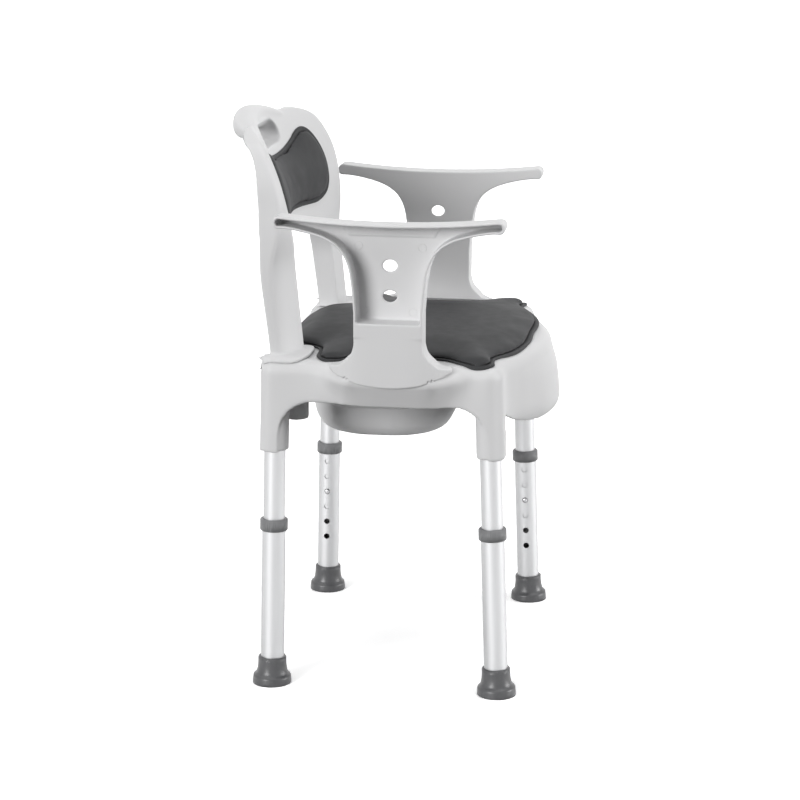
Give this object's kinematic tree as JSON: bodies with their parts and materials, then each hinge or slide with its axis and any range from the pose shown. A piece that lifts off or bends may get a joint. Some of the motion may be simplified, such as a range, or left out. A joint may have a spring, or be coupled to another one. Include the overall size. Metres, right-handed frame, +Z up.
{
  "type": "shower commode chair",
  "caption": "Shower commode chair: moulded seat on height-adjustable tube legs, lift-off armrests and padded backrest, seat pad, and a pan that slides out at the rear.",
  "frame": {"origin": "on the floor under the middle of the chair's outer box, side to side and front to rear", "axes": "+Z up, +Y towards the chair's rear, +X towards the sitter's left"},
  "size_m": [0.554, 0.4824, 0.808],
  "materials": {
    "white_plastic": "satin, light neutral grey",
    "pad_grey": "matte moulded foam, dark grey",
    "tube_aluminium": "satin anodised",
    "collar_grey": "satin, mid grey",
    "foot_rubber": "semi-gloss, dark grey",
    "pin_steel": "polished",
    "screw_steel": "satin"
  },
  "bodies": {
    "frame": {"seat_shell": "white_plastic", "upper_tube_fl": "tube_aluminium", "upper_tube_fr": "tube_aluminium", "upper_tube_rl": "tube_aluminium", "upper_tube_rr": "tube_aluminium", "pin_spring_fl": "pin_steel", "pin_spring_fr": "pin_steel", "pin_spring_rl": "pin_steel", "pin_spring_rr": "pin_steel", "leg_screws": "screw_steel", "pan_rail_left": "collar_grey", "pan_rail_right": "collar_grey", "rail_screws": "screw_steel"},
    "leg_front_left": {"lower_tube_fl": "tube_aluminium", "tube_collar_fl": "collar_grey", "foot_fl": "foot_rubber"},
    "leg_front_right": {"lower_tube_fr": "tube_aluminium", "tube_collar_fr": "collar_grey", "foot_fr": "foot_rubber"},
    "leg_rear_left": {"lower_tube_rl": "tube_aluminium", "tube_collar_rl": "collar_grey", "foot_rl": "foot_rubber"},
    "leg_rear_right": {"lower_tube_rr": "tube_aluminium", "tube_collar_rr": "collar_grey", "foot_rr": "foot_rubber"},
    "pin_front_left": {"snap_pin_fl": "pin_steel"},
    "pin_front_right": {"snap_pin_fr": "pin_steel"},
    "pin_rear_left": {"snap_pin_rl": "pin_steel"},
    "pin_rear_right": {"snap_pin_rr": "pin_steel"},
    "armrest_left": {"armrest_left": "white_plastic"},
    "armrest_right": {"armrest_right": "white_plastic"},
    "backrest": {"backrest": "white_plastic", "back_pad": "pad_grey"},
    "seat_pad": {"seat_pad": "pad_grey"},
    "pan": {"pan": "white_plastic"}
  },
  "joints": [
    {"name": "height_front_left", "type": "slide", "parent": "frame", "child": "leg_front_left", "axis": [0.0112, -0.0366, -0.9993], "range_m": [-0.075, 0.05], "deforming": ["snap_pin_fl", "pin_spring_fl"]},
    {"name": "height_front_right", "type": "slide", "parent": "frame", "child": "leg_front_right", "axis": [-0.0112, -0.0366, -0.9993], "range_m": [-0.075, 0.05], "deforming": ["snap_pin_fr", "pin_spring_fr"]},
    {"name": "height_rear_left", "type": "slide", "parent": "frame", "child": "leg_rear_left", "axis": [0.0112, 0.0185, -0.9998], "range_m": [-0.075, 0.05], "deforming": ["snap_pin_rl", "pin_spring_rl"]},
    {"name": "height_rear_right", "type": "slide", "parent": "frame", "child": "leg_rear_right", "axis": [-0.0112, 0.0185, -0.9998], "range_m": [-0.075, 0.05], "deforming": ["snap_pin_rr", "pin_spring_rr"]},
    {"name": "press_front_left", "type": "slide", "parent": "frame", "child": "pin_front_left", "axis": [0.9999, 0, 0.0112], "range_m": [0, 0.0036], "stiffness_N_per_m": 3000, "springref_m": -0.002, "deforming": ["pin_spring_fl"]},
    {"name": "press_front_right", "type": "slide", "parent": "frame", "child": "pin_front_right", "axis": [-0.9999, 0, 0.0112], "range_m": [0, 0.0036], "stiffness_N_per_m": 3000, "springref_m": -0.002, "deforming": ["pin_spring_fr"]},
    {"name": "press_rear_left", "type": "slide", "parent": "frame", "child": "pin_rear_left", "axis": [0.9999, 0, 0.0112], "range_m": [0, 0.0036], "stiffness_N_per_m": 3000, "springref_m": -0.002, "deforming": ["pin_spring_rl"]},
    {"name": "press_rear_right", "type": "slide", "parent": "frame", "child": "pin_rear_right", "axis": [-0.9999, 0, 0.0112], "range_m": [0, 0.0036], "stiffness_N_per_m": 3000, "springref_m": -0.002, "deforming": ["pin_spring_rr"]},
    {"name": "armrest_left_lift", "type": "slide", "parent": "frame", "child": "armrest_left", "axis": [0, 0, 1], "range_m": [0, 0.06]},
    {"name": "armrest_right_lift", "type": "slide", "parent": "frame", "child": "armrest_right", "axis": [0, 0, 1], "range_m": [0, 0.06]},
    {"name": "backrest_lift", "type": "slide", "parent": "frame", "child": "backrest", "axis": [0, 0, 1], "range_m": [0, 0.1]},
    {"name": "seat_pad_lift", "type": "slide", "parent": "frame", "child": "seat_pad", "axis": [0, 0, 1], "range_m": [0, 0.05]},
    {"name": "pan_slide", "type": "slide", "parent": "frame", "child": "pan", "axis": [0, 1, 0], "range_m": [0, 0.25]}
  ]
}
